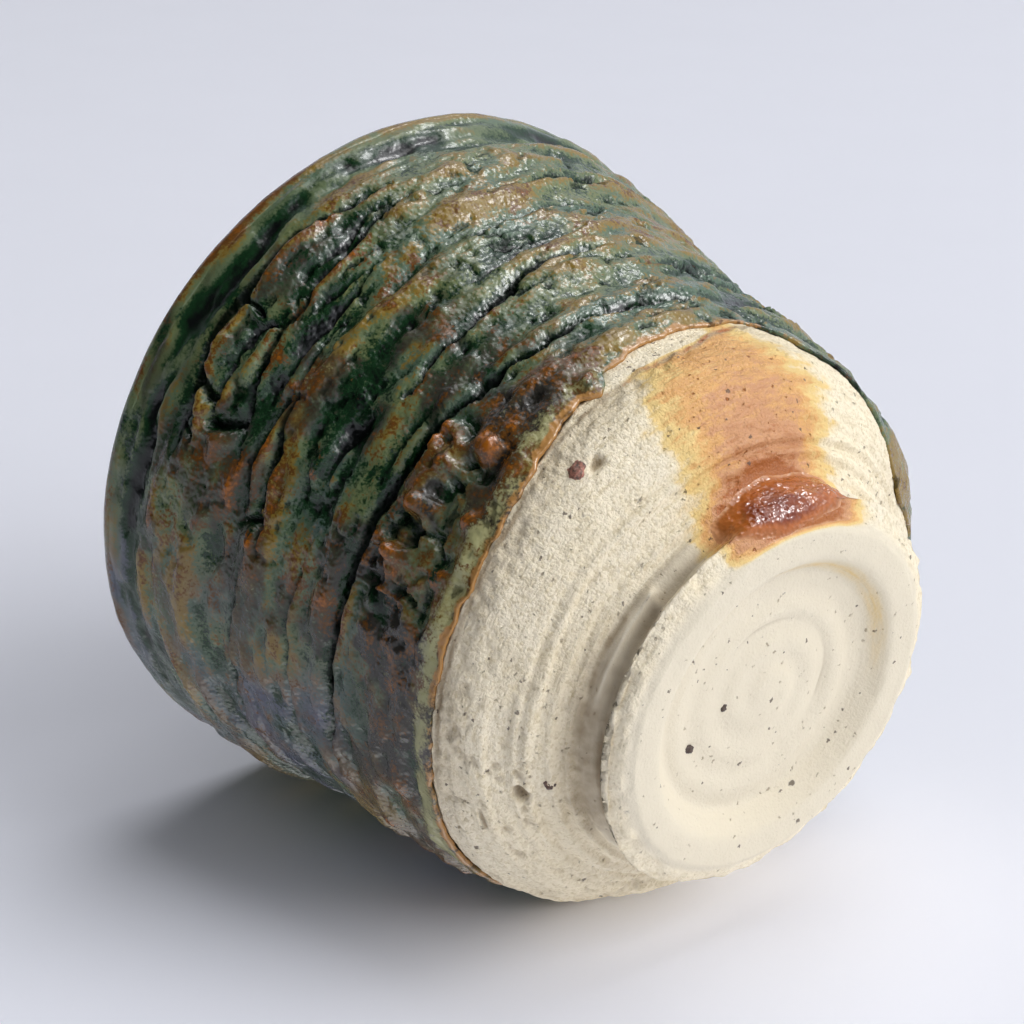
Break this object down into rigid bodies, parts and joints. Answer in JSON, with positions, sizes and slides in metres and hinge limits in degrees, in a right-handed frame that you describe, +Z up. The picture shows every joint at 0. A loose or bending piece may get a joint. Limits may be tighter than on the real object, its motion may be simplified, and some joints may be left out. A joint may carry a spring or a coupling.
{
  "type": "sake cup",
  "caption": "Small hand-thrown stoneware sake cup with a turned foot, a carved wall under a green glaze coat, and bare buff clay below.",
  "frame": {"origin": "centre of the foot's flat face, where the cup stands", "axes": "+Z up along the cup's turning axis, towards the lip; -Y is the side that the picture shows"},
  "size_m": [0.06, 0.06, 0.05],
  "materials": {
    "stoneware": "unglazed buff stoneware, matte and gritty, with turning marks",
    "green_glaze": "glossy copper-green glaze, breaking to brown on ridges and pooling dark in grooves",
    "liner_glaze": "glossy green glaze",
    "flash_glass": "glossy red-brown fused glass",
    "iron_stone": "rough brown iron-bearing stone"
  },
  "bodies": {
    "root": {"stoneware_body": "stoneware", "outer_glaze": "green_glaze", "liner_glaze": "liner_glaze", "flash_glass": "flash_glass", "hip_stone": "iron_stone", "waist_stone": "iron_stone", "foot_stone_inner": "iron_stone", "foot_stone_outer": "iron_stone"}
  },
  "joints": []
}
